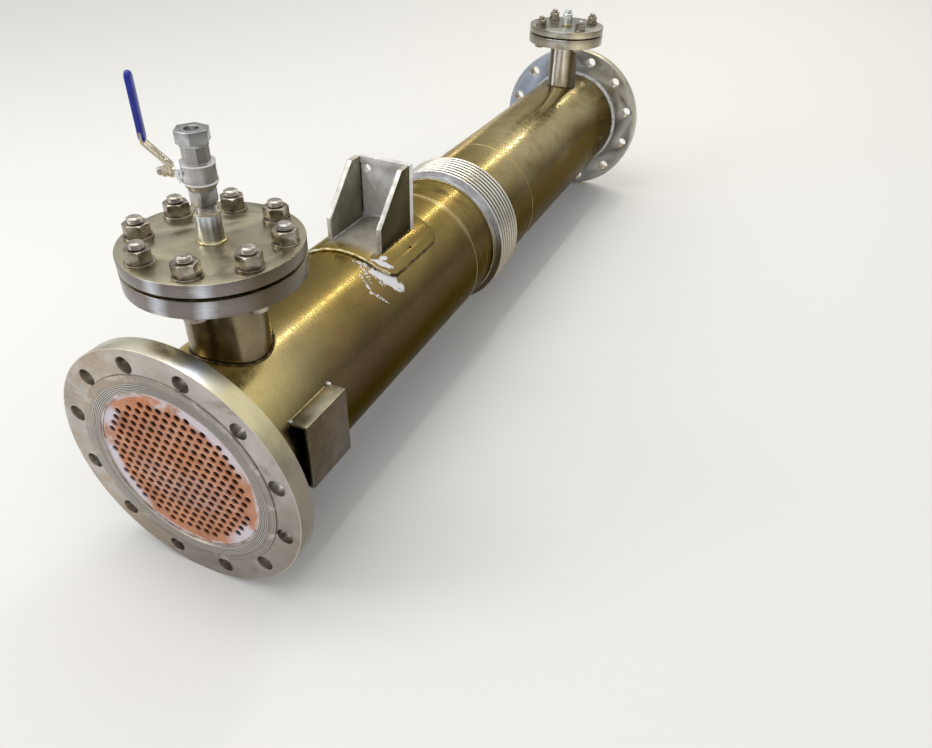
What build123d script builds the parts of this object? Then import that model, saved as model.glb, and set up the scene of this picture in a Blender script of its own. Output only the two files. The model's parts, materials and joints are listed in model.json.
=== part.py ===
"""Horizontal shell-and-tube oil cooler with a bellows in its shell, lying on its two round end flanges.

Millimetres. The cooler's axis runs along Y and +Z is up. The origin lies on the floor, midway between
the two end faces. Distances along the shell are given as stations, counted from the front end face.
"""
from build123d import *
import os
from math import cos, radians, sin, sqrt

# Overall
length = 1778.0

# End flanges
flange_od = 405.0
flange_t = 32.0
flange_hole = 26.0
flange_holes = 12
flange_rim = 12.0
flange_pcd = flange_od - flange_hole - 2 * flange_rim
face_margin = 1.0
face_od = flange_pcd - flange_hole - 2 * face_margin
face_h = 2.0
foot_depth = 1.2
axis_z = flange_od / 2 - foot_depth

# Shell
shell_od = 273.0
shell_wall = 4.0
shell_r = shell_od / 2
shell_recess = 2.0
front_seam = 725.0
bellows_front = 811.0
bellows_rear = 928.0
rear_seam = 1049.0

# Bellows
folds = 8
fold_w = 7.0
fold_h = 12.0
root_h = 2.5
root_r = shell_r + root_h
crest_r = root_r + fold_h
cuff = 12.0

# Tube bundle
tube_bore = 10.6
tube_pitch = 15.6
tube_margin = 13.5
bundle_recess = 3.0
bundle_r = shell_r - shell_wall
tube_reach = bundle_r - tube_margin

# Nozzles, each placed from its own end face
nozzle_height = 157.5
nozzle_top = shell_r + nozzle_height
gasket_margin = 10.0
front_nozzle = dict(inset=150.0, pipe_od=114.3, od=242.0, hole=22.0, count=8, rim=13.0,
                    blank_t=18.0, gap=5.0, ring_t=24.5)
rear_nozzle = dict(inset=159.0, pipe_od=76.1, od=200.0, hole=18.0, count=4, rim=13.5,
                   blank_t=16.0, gap=4.0, ring_t=23.0)
front_station = front_nozzle["inset"]
rear_station = length - rear_nozzle["inset"]

# Support lug on top of the shell
pad_station = (449.0, 640.0)
pad_t = 5.0
pad_width = 182.0
pad_corner = 32.0
weep_hole = 6.0
weep_x = 76.0
weep_station = 550.0
lug_gap = 90.0
lug_wall = 10.0
lug_height = 116.5
lug_nose_height = 37.5
lug_front = 486.0
lug_plate = (592.0, 604.0)
lug_hole = 16.0
lug_hole_spacing = 64.0
lug_hole_drop = 21.0
lug_top = shell_r + lug_height
lug_nose = shell_r + lug_nose_height
lug_hole_z = lug_top - lug_hole_drop

# Side bracket low on the right of the shell
bracket_station = (102.0, 203.0)
bracket_depth = 15.5
bracket_x = shell_r + bracket_depth
bracket_z = (-54.0, 63.0)
bracket_wall = 5.0

# Test fittings on the front blank
socket_od = 34.0
socket_h = 40.0
nipple_od = 26.9
nipple_h = 12.0
valve_flats = 31.0
valve_foot_h = 17.0
valve_cone_h = 11.0
valve_body_od = 44.0
valve_body_h = 26.0
valve_rim_h = 2.5
valve_waist = 1.0
valve_neck_h = 20.0
adapter_flats = 38.0
adapter_h = 20.0
collar_od = 36.0
collar_h = 4.0
port_r = 9.0
port_depth = 15.0

# Valve lever
stem_turn = 29.0
stem_r = 5.0
stem_depth = 12.0
gland_r = 9.0
gland_reach = 26.0
lever_out = 31.0
lever_t = 3.0
lever_w = 16.0
lever_straight = 7.5
lever_jog_out = 26.0
lever_jog_up = 29.0
lever_tongue = 12.0
grip_w = 15.0
grip_t = 7.5
grip_h = 82.0
slot_w = 5.0
slot_l = 16.0
running_gap = 0.05
nut_flats = 12.0
nut_h = 9.0
stem_end = 47.0

# Vent on the rear blank
vent_od = 26.0
vent_h = 28.0
plug_flats = 17.0
plug_h = 10.0


def at(station):
    """Y of a station."""
    return station - length / 2


def along(start, stop, radius):
    """Solid round bar on the cooler's axis between two stations."""
    plane = Plane(origin=(0, at(start), axis_z), x_dir=(1, 0, 0), z_dir=(0, 1, 0))
    return extrude(plane * Circle(radius), stop - start)


def upright(station, low, high, radius, x=0):
    """Solid round bar standing up, between two heights over the cooler's axis."""
    plane = Plane(origin=(x, at(station), axis_z + low))
    return extrude(plane * Circle(radius), high - low)


def hexagon(station, low, high, flats, x=0, sides=6):
    """Upright bar with flat sides."""
    plane = Plane(origin=(x, at(station), axis_z + low))
    return extrude(plane * RegularPolygon(flats / 2, sides, major_radius=False), high - low)


def ring_holes(pcd, hole, count):
    """Holes of a bolt circle, placed either side of the top."""
    return PolarLocations(pcd / 2, count, start_angle=180 / count) * Circle(hole / 2)


def girth_flange(face, outward):
    """End flange whose raised face is at a station; outward is -1 at the front end and +1 at the rear.
    The shallow flat it rests on is cut along the floor."""
    plane = Plane(origin=(0, at(face), axis_z), x_dir=(1, 0, 0), z_dir=(0, -outward, 0))
    body = Circle(flange_od / 2) - Circle(shell_r) - ring_holes(flange_pcd, flange_hole, flange_holes)
    step = Circle(face_od / 2) - Circle(shell_r)
    under_floor = Pos(0, at(face), -flange_t) * Box(flange_od, 3 * flange_t, 2 * flange_t)
    disc = extrude(plane.offset(face_h) * body, flange_t - face_h) + extrude(plane * step, face_h)
    return disc - under_floor


def tube_field():
    """Bore centres on a triangular grid, none further out than the reach."""
    rise = tube_pitch * sqrt(3) / 2
    rows, columns = int(tube_reach / rise), int(tube_reach / tube_pitch) + 1
    centres = []
    for row in range(-rows, rows + 1):
        shift = 0.5 if row % 2 == 0 else 0.0
        for step in range(-columns, columns + 1):
            x, z = (step + shift) * tube_pitch, row * rise
            if x * x + z * z <= tube_reach ** 2:
                centres.append((x, z))
    return centres


def bundle():
    """Tube sheets and tubes as one bar, bored right through at every tube."""
    start, stop = bundle_recess, length - bundle_recess
    plane = Plane(origin=(0, at(start), axis_z), x_dir=(1, 0, 0), z_dir=(0, 1, 0))
    face = Circle(bundle_r) - Locations(*tube_field()) * Circle(tube_bore / 2)
    return extrude(plane * face, stop - start)


def barrel(start, stop):
    """Length of shell between two stations."""
    return along(start, stop, shell_r) - along(start - 1, stop + 1, bundle_r)


def bellows():
    """Folded length of shell: round-topped convolutions with a plain cuff at each end."""
    middle = at((bellows_front + bellows_rear) / 2)
    fold_pitch = (bellows_rear - bellows_front - 2 * cuff) / folds
    wall = Pos((bundle_r + root_r) / 2, middle) * Rectangle(root_r - bundle_r, bellows_rear - bellows_front)
    crests = Pos((bundle_r + crest_r) / 2, middle) * GridLocations(1, fold_pitch, 1, folds)
    profile = wall + [place * SlotOverall(crest_r - bundle_r, fold_w) for place in crests]
    return revolve(Pos(0, 0, axis_z) * profile, Axis((0, 0, axis_z), (0, 1, 0)))


def nozzle(size, station):
    """Neck, fixed ring, gasket and blank of a nozzle, stacked upwards."""
    blank_low = nozzle_top - size["blank_t"]
    ring_high = blank_low - size["gap"]
    ring_low = ring_high - size["ring_t"]
    pcd = size["od"] - size["hole"] - 2 * size["rim"]
    gasket_od = pcd - size["hole"] - 2 * gasket_margin
    holes = ring_holes(pcd, size["hole"], size["count"])

    def disc(low, high):
        plane = Plane(origin=(0, at(station), axis_z + low))
        return extrude(plane * (Circle(size["od"] / 2) - holes), high - low)

    neck = upright(station, 0, ring_low, size["pipe_od"] / 2) - along(0, length, shell_r)
    gasket = upright(station, ring_high, blank_low, gasket_od / 2)
    return neck, disc(ring_low, ring_high), gasket, disc(blank_low, nozzle_top)


def lug_pad():
    """Curved plate on top of the shell with rounded corners and a weep hole."""
    start, stop = pad_station
    plane = Plane(origin=(0, at((start + stop) / 2), axis_z))
    outline = plane * RectangleRounded(pad_width, stop - start, pad_corner)
    sleeve = along(start - 1, stop + 1, shell_r + pad_t) - along(start - 2, stop + 2, shell_r)
    plate = extrude(outline, shell_r + pad_t + 1) & sleeve
    return plate - upright(weep_station, 0, shell_r + pad_t + 1, weep_hole / 2, weep_x)


def lug_back():
    """Upright plate of the lug with its two bolt holes."""
    start, stop = lug_plate
    width = lug_gap + 2 * lug_wall
    block = Pos(0, at((start + stop) / 2), axis_z + lug_top / 2) * Box(width, stop - start, lug_top)
    plate = block - along(start - 1, stop + 1, shell_r + pad_t)
    for side in (-1, 1):
        plane = Plane(origin=(side * lug_hole_spacing / 2, at(start) - 1, axis_z + lug_hole_z),
                      x_dir=(1, 0, 0), z_dir=(0, 1, 0))
        plate -= extrude(plane * Circle(lug_hole / 2), stop - start + 2)
    return plate


def lug_side(side):
    """Gusset of the lug, its upper front corner cut off at 45 degrees."""
    front, back = lug_front, lug_plate[0]
    slope = lug_top - lug_nose
    x = side * (lug_gap + lug_wall) / 2 - lug_wall / 2
    corners = [(front, 0), (back, 0), (back, lug_top), (front + slope, lug_top), (front, lug_nose)]
    face = make_face(Polyline(*[(x, at(s), axis_z + z) for s, z in corners], close=True))
    return extrude(face, lug_wall, dir=(1, 0, 0)) - along(front - 1, back + 1, shell_r + pad_t)


def bracket():
    """Channel welded against the side of the shell, open at both ends."""
    start, stop = bracket_station
    low, high = bracket_z
    mid_y, mid_z = at((start + stop) / 2), axis_z + (low + high) / 2
    outer = Pos(bracket_x / 2, mid_y, mid_z) * Box(bracket_x, stop - start, high - low)
    inner = Pos(bracket_x / 2 - bracket_wall, mid_y, mid_z) * Box(
        bracket_x, stop - start + 2, high - low - 2 * bracket_wall)
    return outer - inner - along(start - 1, stop + 1, shell_r)


def lever_frame(out):
    """Plane square to the valve stem, at a distance from the valve's own axis; its y axis points up."""
    outward = (-cos(radians(stem_turn)), -sin(radians(stem_turn)), 0)
    origin = (outward[0] * out, at(front_station) + outward[1] * out, axis_z + stem_z)
    return Plane(origin=origin, x_dir=(sin(radians(stem_turn)), -cos(radians(stem_turn)), 0), z_dir=outward)


nipple_z = nozzle_top + socket_h
foot_z = nipple_z + nipple_h
cone_z = foot_z + valve_foot_h
body_z = cone_z + valve_cone_h
neck_z = body_z + valve_body_h
adapter_z = neck_z + valve_neck_h
adapter_top = adapter_z + adapter_h
stem_z = body_z + valve_body_h / 2


def valve_body():
    """Ball valve body: hexagonal foot, cone, round drum with a rim at each end, eight-sided neck, gland."""
    outer = valve_body_od / 2
    foot = hexagon(front_station, foot_z, cone_z + 2, valve_flats)
    low = Plane(origin=(0, at(front_station), axis_z + cone_z)) * Circle(valve_flats / 2)
    high = Plane(origin=(0, at(front_station), axis_z + body_z)) * Circle(outer)
    cone = loft([low, high])
    drum = upright(front_station, body_z, neck_z, outer - valve_waist)
    rims = upright(front_station, body_z, body_z + valve_rim_h, outer) + upright(
        front_station, neck_z - valve_rim_h, neck_z, outer)
    neck = hexagon(front_station, neck_z, adapter_z, valve_flats, sides=8)
    gland = extrude(lever_frame(0) * Circle(gland_r), gland_reach)
    stem_bore = extrude(lever_frame(gland_reach) * Circle(stem_r + running_gap), -stem_depth)
    return foot + cone + drum + rims + neck + gland - stem_bore


def lever():
    """Lever plate with its stem: a round eye on the stem, a slotted strap rising outwards, and a tongue."""
    base = lever_frame(lever_out)
    reach = lever_straight + lever_jog_up
    top = reach + lever_tongue
    middle = [(0, 0), (0, lever_straight), (lever_jog_out, reach), (lever_jog_out, top)]
    side = offset(Polyline(*middle), lever_t / 2, side=Side.BOTH, kind=Kind.INTERSECTION)
    middle_of_plate = lever_frame(lever_out + lever_t / 2).origin
    side_plane = Plane(origin=middle_of_plate, x_dir=base.z_dir, z_dir=-base.x_dir)
    strap = extrude(side_plane * make_face(side.edges()), lever_w / 2, both=True)
    eye = extrude(base * Circle(lever_w / 2), lever_t)
    slot_z = lever_straight + lever_jog_up / 2
    slot = extrude(base * Pos(0, slot_z) * SlotOverall(slot_l, slot_w, rotation=90), lever_jog_out + lever_t)
    stem_start = gland_reach - stem_depth + 1
    stem = extrude(lever_frame(stem_start) * Circle(stem_r), stem_end - stem_start)
    return strap + eye - slot + stem


def lever_nut():
    """Nut that holds the lever on its stem."""
    plane = lever_frame(lever_out + lever_t)
    ring = RegularPolygon(nut_flats / 2, 6, major_radius=False) - Circle(stem_r)
    return extrude(plane * ring, nut_h)


def grip():
    """Sleeve over the lever's end, with rounded ends."""
    plane = lever_frame(lever_out + lever_jog_out + lever_t / 2 - grip_t / 2)
    low = lever_straight + lever_jog_up
    outline = plane * Pos(0, low + grip_h / 2) * SlotOverall(grip_h, grip_w, rotation=90)
    return extrude(outline, grip_t)


front_neck, front_ring, front_gasket, front_blank = nozzle(front_nozzle, front_station)
rear_neck, rear_ring, rear_gasket, rear_blank = nozzle(rear_nozzle, rear_station)
hex_z = adapter_z + collar_h
port = upright(front_station, adapter_top - port_depth, adapter_top + 1, port_r)
adapter = upright(front_station, adapter_z, hex_z, collar_od / 2) + hexagon(
    front_station, hex_z, adapter_top, adapter_flats) - port
plug_z = nozzle_top + vent_h
handle_grip = grip()
handle = lever() - handle_grip

parts = {
    "front_flange": girth_flange(0, -1),
    "rear_flange": girth_flange(length, 1),
    "tube_bundle": bundle(),
    "front_barrel": barrel(shell_recess, front_seam),
    "front_spool": barrel(front_seam, bellows_front),
    "expansion_bellows": bellows(),
    "rear_spool": barrel(bellows_rear, rear_seam),
    "rear_barrel": barrel(rear_seam, length - shell_recess),
    "front_nozzle_neck": front_neck,
    "front_nozzle_flange": front_ring,
    "front_gasket": front_gasket,
    "front_blank": front_blank,
    "rear_nozzle_neck": rear_neck,
    "rear_nozzle_flange": rear_ring,
    "rear_gasket": rear_gasket,
    "rear_blank": rear_blank,
    "rear_vent_socket": upright(rear_station, nozzle_top, plug_z, vent_od / 2),
    "rear_vent_plug": hexagon(rear_station, plug_z, plug_z + plug_h, plug_flats),
    "lug_pad": lug_pad(),
    "lug_back_plate": lug_back(),
    "lug_left_gusset": lug_side(-1),
    "lug_right_gusset": lug_side(1),
    "side_bracket": bracket(),
    "test_socket": upright(front_station, nozzle_top, nipple_z, socket_od / 2),
    "test_nipple": upright(front_station, nipple_z, foot_z, nipple_od / 2),
    "test_valve": valve_body(),
    "hose_adapter": adapter,
    "valve_lever": handle,
    "lever_grip": handle_grip,
    "lever_nut": lever_nut(),
}

os.makedirs("parts", exist_ok=True)
for name, shape in parts.items():
    export_step(shape, os.path.join("parts", name + ".step"))
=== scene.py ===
"""Looks of the shell-and-tube oil cooler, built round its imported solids.

Metres, in the solids' own frame: +Y runs along the shell from the front end face, +Z is up. The named sizes,
stations along the shell and heights over its axis are in millimetres; at() and over() turn a station and a
height into metres.
"""
import bpy
import json
from math import cos, pi, radians, sin, sqrt
from mathutils import Matrix, Vector

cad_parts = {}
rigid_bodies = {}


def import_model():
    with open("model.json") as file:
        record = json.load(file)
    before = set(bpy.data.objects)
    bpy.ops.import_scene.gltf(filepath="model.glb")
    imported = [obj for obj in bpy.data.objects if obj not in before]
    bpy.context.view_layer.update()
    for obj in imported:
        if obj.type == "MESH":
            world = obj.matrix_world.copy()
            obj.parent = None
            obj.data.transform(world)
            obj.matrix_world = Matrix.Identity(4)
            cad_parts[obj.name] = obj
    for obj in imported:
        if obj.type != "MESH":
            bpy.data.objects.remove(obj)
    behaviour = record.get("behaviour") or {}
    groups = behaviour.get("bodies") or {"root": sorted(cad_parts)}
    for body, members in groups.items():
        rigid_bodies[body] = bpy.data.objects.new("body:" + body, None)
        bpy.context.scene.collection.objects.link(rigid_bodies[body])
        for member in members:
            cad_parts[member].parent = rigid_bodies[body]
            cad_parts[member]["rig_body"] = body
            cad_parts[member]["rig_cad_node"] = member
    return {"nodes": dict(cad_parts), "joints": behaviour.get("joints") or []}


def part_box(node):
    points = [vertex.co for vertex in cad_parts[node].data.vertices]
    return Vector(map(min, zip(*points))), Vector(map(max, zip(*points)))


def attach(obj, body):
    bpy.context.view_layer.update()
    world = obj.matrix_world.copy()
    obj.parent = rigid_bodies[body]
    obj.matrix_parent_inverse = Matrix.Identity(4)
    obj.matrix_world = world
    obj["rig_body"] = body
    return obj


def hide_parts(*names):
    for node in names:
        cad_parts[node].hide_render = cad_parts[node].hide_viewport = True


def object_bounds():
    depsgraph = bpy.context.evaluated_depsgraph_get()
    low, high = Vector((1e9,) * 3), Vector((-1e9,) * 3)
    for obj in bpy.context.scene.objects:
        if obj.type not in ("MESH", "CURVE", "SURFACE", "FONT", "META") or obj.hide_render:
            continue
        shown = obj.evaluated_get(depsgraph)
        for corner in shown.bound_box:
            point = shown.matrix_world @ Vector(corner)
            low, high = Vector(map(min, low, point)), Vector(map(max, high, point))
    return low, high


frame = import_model()
cad_low, cad_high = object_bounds()
solids = frame["nodes"]

mm = 0.001
length = (cad_high.y - cad_low.y) / mm

# Sizes of the solids

flange_r, flange_t, face_r = 202.5, 32, 163.5
bolt_circle_r, bolt_hole_r, flange_holes = 177.5, 13, 12
shell_r, seams = 136.5, (725, 1049)
bellows_front, bellows_rear, cuff, crest_r = 811, 928, 12, 151
folds_front, folds_rear = bellows_front + cuff, bellows_rear - cuff
sheet_recess, tube_pitch, tube_reach, tube_bore_r = 3, 15.6, 119, 5.3
front_station, front_neck_r, front_blank_r = 150, 57.15, 121
rear_station, rear_neck_r, rear_blank_r = length - 159, 38.05, 100
nozzle_top, socket_top, socket_r, vent_r = 294, 334, 17, 13
pad_front, pad_back, pad_half, pad_corner, pad_t = 449, 640, 91, 32, 5
lug_front, lug_top, plate_front, plate_back = 486, 253, 592, 604
gusset_inner, gusset_outer = 45, 55
bracket_front, bracket_back, bracket_top, bracket_low = 102, 203, 63, -54

# Sizes that only the looks have

weld_stations = (flange_t + 2, *seams, length - flange_t - 2)
groove_start, groove_pitch, groove_depth, groove_count = shell_r + 1.2, 2.6, 0.5, 5
groove_end = groove_start + groove_count * groove_pitch

axis_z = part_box("front_flange")[1].z - flange_r * mm


def at(station):
    """Y of a station in millimetres from the front end face."""
    return cad_low.y + station * mm


def over(height):
    """Z of a height in millimetres over the shell's axis."""
    return axis_z + height * mm


# Ways to model

def alone(obj=None):
    """Leaves one object selected and active, or none."""
    bpy.ops.object.select_all(action="DESELECT")
    if obj:
        obj.select_set(True)
        bpy.context.view_layer.objects.active = obj
    return obj


def settle(obj):
    """Puts an object's place into its mesh."""
    alone(obj)
    bpy.ops.object.transform_apply(location=True, rotation=True, scale=True)
    return obj


def mend(obj):
    """Merges doubled vertices and turns every face outwards."""
    alone(obj)
    bpy.ops.object.mode_set(mode="EDIT")
    bpy.ops.mesh.select_all(action="SELECT")
    bpy.ops.mesh.remove_doubles(threshold=1e-5)
    bpy.ops.mesh.normals_make_consistent(inside=False)
    bpy.ops.object.mode_set(mode="OBJECT")
    return obj


def apply(obj, kind, **settings):
    """Adds a modifier and applies it."""
    alone(obj)
    step = obj.modifiers.new(kind, kind)
    for key, value in settings.items():
        setattr(step, key, value)
    bpy.ops.object.modifier_apply(modifier=step.name)
    return obj


def smooth(obj, angle=35):
    """Shades an object smooth, with creases sharper than an angle in degrees."""
    alone(obj)
    bpy.ops.object.shade_smooth_by_angle(angle=radians(angle))
    return obj


def turned(outline, spot, lengthwise=False, steps=64):
    """Spins a closed outline of (radius, height) points in millimetres about an upright axis through a
    spot, or about one along the shell."""
    alone()
    bpy.ops.mesh.primitive_circle_add(vertices=len(outline), radius=mm)
    obj = bpy.context.object
    for v, (r, h) in zip(obj.data.vertices, outline):
        v.co = Vector((r, h, 0) if lengthwise else (r, 0, h)) * mm + Vector(spot)
    bpy.ops.object.mode_set(mode="EDIT")
    bpy.ops.mesh.select_all(action="SELECT")
    bpy.ops.mesh.spin(steps=steps, angle=2 * pi, center=spot, axis=(0, 1, 0) if lengthwise else (0, 0, 1))
    bpy.ops.object.mode_set(mode="OBJECT")
    return mend(obj)


def bead(points, thickness, closed=False):
    """A weld bead of round section along points in metres, its radius in millimetres."""
    alone()
    bpy.ops.mesh.primitive_circle_add(vertices=len(points), radius=mm)
    obj = bpy.context.object
    for v, p in zip(obj.data.vertices, points):
        v.co = p
    if not closed:
        bpy.ops.object.mode_set(mode="EDIT")
        bpy.ops.mesh.select_mode(type="EDGE")
        bpy.ops.mesh.select_all(action="DESELECT")
        bpy.ops.object.mode_set(mode="OBJECT")
        for e in obj.data.edges:
            e.select = set(e.vertices) == {0, len(points) - 1}
        bpy.ops.object.mode_set(mode="EDIT")
        bpy.ops.mesh.delete(type="EDGE")
        bpy.ops.mesh.select_mode(type="VERT")
        bpy.ops.object.mode_set(mode="OBJECT")
    bpy.ops.object.convert(target="CURVE")
    obj = bpy.context.object
    obj.data.bevel_depth = thickness * mm
    obj.data.bevel_resolution = 2
    obj.data.use_fill_caps = True
    bpy.ops.object.convert(target="MESH")
    return smooth(mend(bpy.context.object), 60)


def repeat(obj, places):
    """Copies a piece to every place, each with its own mesh, and joins the copies into one."""
    copies = []
    for place in places:
        twin = bpy.data.objects.new(obj.name, obj.data.copy())
        bpy.context.scene.collection.objects.link(twin)
        twin.data.transform(place)
        copies.append(twin)
    bpy.data.objects.remove(obj)
    return join(copies)


def join(parts):
    alone(parts[0])
    for part in parts:
        part.select_set(True)
    bpy.ops.object.join()
    return bpy.context.object


def lifted(obj, height):
    """Moves a piece up by a height in millimetres."""
    obj.data.transform(Matrix.Translation((0, 0, height * mm)))
    return obj


def shaped_from(node, width, segments=2):
    """A copy of a solid with its edges rounded off by a small width in millimetres."""
    alone(solids[node])
    bpy.ops.object.duplicate()
    obj = bpy.context.object
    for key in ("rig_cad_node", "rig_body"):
        del obj[key]
    obj.parent = None
    mend(obj)
    bpy.ops.object.mode_set(mode="EDIT")
    bpy.ops.mesh.select_all(action="SELECT")
    bpy.ops.mesh.dissolve_limited(angle_limit=radians(0.5))
    bpy.ops.object.mode_set(mode="OBJECT")
    apply(obj, "BEVEL", width=width * mm, segments=segments, limit_method="ANGLE", angle_limit=radians(30),
          use_clamp_overlap=True)
    return smooth(obj)


def keep(obj, name, finish, body="cooler", stands_for=()):
    """Names a finished piece, gives it its material and fixes it to its body."""
    obj.name = obj.data.name = name
    obj.data.materials.clear()
    obj.data.materials.append(finish)
    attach(obj, body)
    if stands_for:
        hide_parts(*stands_for)
    return obj


def on_shell(x, station, height=0.0):
    """Point on the shell's upper half, or a height in millimetres off it."""
    return Vector((x * mm, at(station), over(sqrt((shell_r + height) ** 2 - x * x))))


# Finishes

def scaled(colour, by, limit=1.0):
    return tuple(min(limit, by * part) for part in colour)


class Finish:
    """A material as it is made: its shader, and short ways to feed it. Its x, y and z are millimetres across
    the shell, along it from the front end face, and over its axis."""

    def __init__(self, name, metallic=1.0, roughness=0.4):
        self.material = bpy.data.materials.new(name)
        self.material.use_nodes = True
        self.tree = self.material.node_tree
        self.shader = self.tree.nodes["Principled BSDF"]
        self.shader.inputs["Metallic"].default_value = metallic
        self.shader.inputs["Roughness"].default_value = roughness
        self.place = self.tree.nodes.new("ShaderNodeTexCoord").outputs["Object"]
        self.x, self.y, self.z = (
            self.maths("DIVIDE", self.less(value, start), mm)
            for value, start in zip(self.split(self.place), (0.0, cad_low.y, axis_z)))

    def feed(self, socket, value):
        """Links a socket to another, or sets it."""
        if isinstance(value, bpy.types.NodeSocket):
            self.tree.links.new(value, socket)
        elif isinstance(value, tuple) and len(value) == 3 and socket.type == "RGBA":
            socket.default_value = (*value, 1)
        else:
            socket.default_value = value

    def split(self, vector):
        node = self.tree.nodes.new("ShaderNodeSeparateXYZ")
        self.feed(node.inputs[0], vector)
        return node.outputs

    def joined(self, x, y, z):
        node = self.tree.nodes.new("ShaderNodeCombineXYZ")
        for socket, value in zip(node.inputs, (x, y, z)):
            self.feed(socket, value)
        return node.outputs[0]

    def maths(self, kind, a, b=0.0):
        node = self.tree.nodes.new("ShaderNodeMath")
        node.operation = kind
        self.feed(node.inputs[0], a)
        self.feed(node.inputs[1], b)
        return node.outputs[0]

    def chain(self, kind, values):
        """Works several values into one, two at a time."""
        result = values[0]
        for value in values[1:]:
            result = self.maths(kind, result, value)
        return result

    def plus(self, *values):
        return self.chain("ADD", values)

    def times(self, *values):
        return self.chain("MULTIPLY", values)

    def most(self, *values):
        return self.chain("MAXIMUM", values)

    def less(self, a, b):
        return self.maths("SUBTRACT", a, b)

    def unsigned(self, value):
        return self.maths("ABSOLUTE", value)

    def band(self, value, low, high, to_low=0.0, to_high=1.0):
        """Eases a value from one range into another."""
        node = self.tree.nodes.new("ShaderNodeMapRange")
        node.interpolation_type = "SMOOTHSTEP"
        for socket, setting in zip(node.inputs, (value, low, high, to_low, to_high)):
            self.feed(socket, setting)
        return node.outputs[0]

    def between(self, value, off, on, last_on, off_again):
        """1 while a value is between two others, easing to 0 outside them."""
        return self.times(self.band(value, off, on), self.band(value, off_again, last_on))

    def near(self, value, middle, reach):
        """1 where a value is at a middle, easing to 0 a reach away."""
        return self.band(self.unsigned(self.less(value, middle)), reach, 0.0)

    def noise(self, scale, stretch=(1, 1, 1), detail=4.0, rough=0.55, vector=None, warp=0.0):
        spread = self.tree.nodes.new("ShaderNodeMapping")
        self.feed(spread.inputs["Vector"], vector or self.place)
        spread.inputs["Scale"].default_value = stretch
        node = self.tree.nodes.new("ShaderNodeTexNoise")
        self.feed(node.inputs["Vector"], spread.outputs[0])
        node.inputs["Scale"].default_value = scale
        node.inputs["Detail"].default_value = detail
        node.inputs["Roughness"].default_value = rough
        node.inputs["Distortion"].default_value = warp
        return node.outputs[0]

    def ramp(self, value, *stops):
        """Colours a value by stops of a position and a colour."""
        node = self.tree.nodes.new("ShaderNodeValToRGB")
        self.feed(node.inputs[0], value)
        marks = node.color_ramp.elements
        while len(marks) < len(stops):
            marks.new(0.5)
        for mark, (position, colour) in zip(marks, stops):
            mark.position = position
            mark.color = (*colour, 1)
        return node.outputs[0]

    def clouded(self, value, dark, middle, light):
        return self.ramp(value, (0.3, dark), (0.5, middle), (0.72, light))

    def blend(self, amount, a, b, kind="MIX"):
        node = self.tree.nodes.new("ShaderNodeMix")
        node.data_type, node.blend_type = "RGBA", kind
        self.feed(node.inputs[0], amount)
        self.feed(node.inputs[6], a)
        self.feed(node.inputs[7], b)
        return node.outputs[2]

    def tint(self, amount, colour, base):
        return self.blend(amount, base, colour)

    def shade(self, colour, light):
        """A colour darkened by a value of 1 or less."""
        return self.blend(1.0, colour, self.joined(light, light, light), "MULTIPLY")

    def relief(self, height, depth):
        """Bumps the surface by a depth in millimetres, over any earlier relief."""
        node = self.tree.nodes.new("ShaderNodeBump")
        node.inputs["Strength"].default_value = 1.0
        node.inputs["Distance"].default_value = depth * mm
        self.feed(node.inputs["Height"], height)
        if self.shader.inputs["Normal"].is_linked:
            self.feed(node.inputs["Normal"], self.shader.inputs["Normal"].links[0].from_socket)
        self.feed(self.shader.inputs["Normal"], node.outputs[0])

    def colour(self, value):
        self.feed(self.shader.inputs["Base Color"], value)

    def rough(self, value, low, high):
        self.feed(self.shader.inputs["Roughness"], self.band(value, 0.25, 0.75, low, high))

    def distance(self, a, b):
        """Length of the way that goes a along one axis and b along another."""
        return self.maths("SQRT", self.plus(self.times(a, a), self.times(b, b)))

    def radius(self):
        """Distance from the shell's axis."""
        return self.distance(self.x, self.z)

    def turn(self):
        """Angle round the shell's axis, 0 at the top."""
        return self.maths("ARCTAN2", self.x, self.z)

    def unrolled(self):
        """Place on the shell as if it were rolled out flat: round from the top, and along."""
        return self.joined(self.times(self.turn(), shell_r), self.y, 0.0)

    def daub(self, flat, across, station, half_length, half_width, turn, ragged):
        """1 inside a ragged oval on the rolled-out shell."""
        place = self.tree.nodes.new("ShaderNodeMapping")
        place.vector_type = "TEXTURE"
        self.feed(place.inputs["Vector"], flat)
        place.inputs["Location"].default_value = (across, station, 0)
        place.inputs["Rotation"].default_value = (0, 0, radians(turn))
        place.inputs["Scale"].default_value = (half_length, half_width, 1)
        size = self.tree.nodes.new("ShaderNodeVectorMath")
        size.operation = "LENGTH"
        self.feed(size.inputs[0], place.outputs[0])
        return self.band(self.plus(size.outputs["Value"], ragged), 1.04, 0.96)

    def facing(self):
        """The way the surface itself faces, as x, y and z."""
        return self.split(self.tree.nodes.new("ShaderNodeNewGeometry").outputs["True Normal"])

    def around(self, ahead, wander=0.16):
        """Place round an axis from 0 to 1, wandering a little, with 0.5 where the distance ahead is
        greatest."""
        drift = self.times(self.less(self.noise(14, (1, 1, 3), 3), 0.5), wander)
        return self.maths("DIVIDE", self.plus(self.maths("ARCTAN2", self.x, ahead), drift, pi), 2 * pi)


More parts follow.
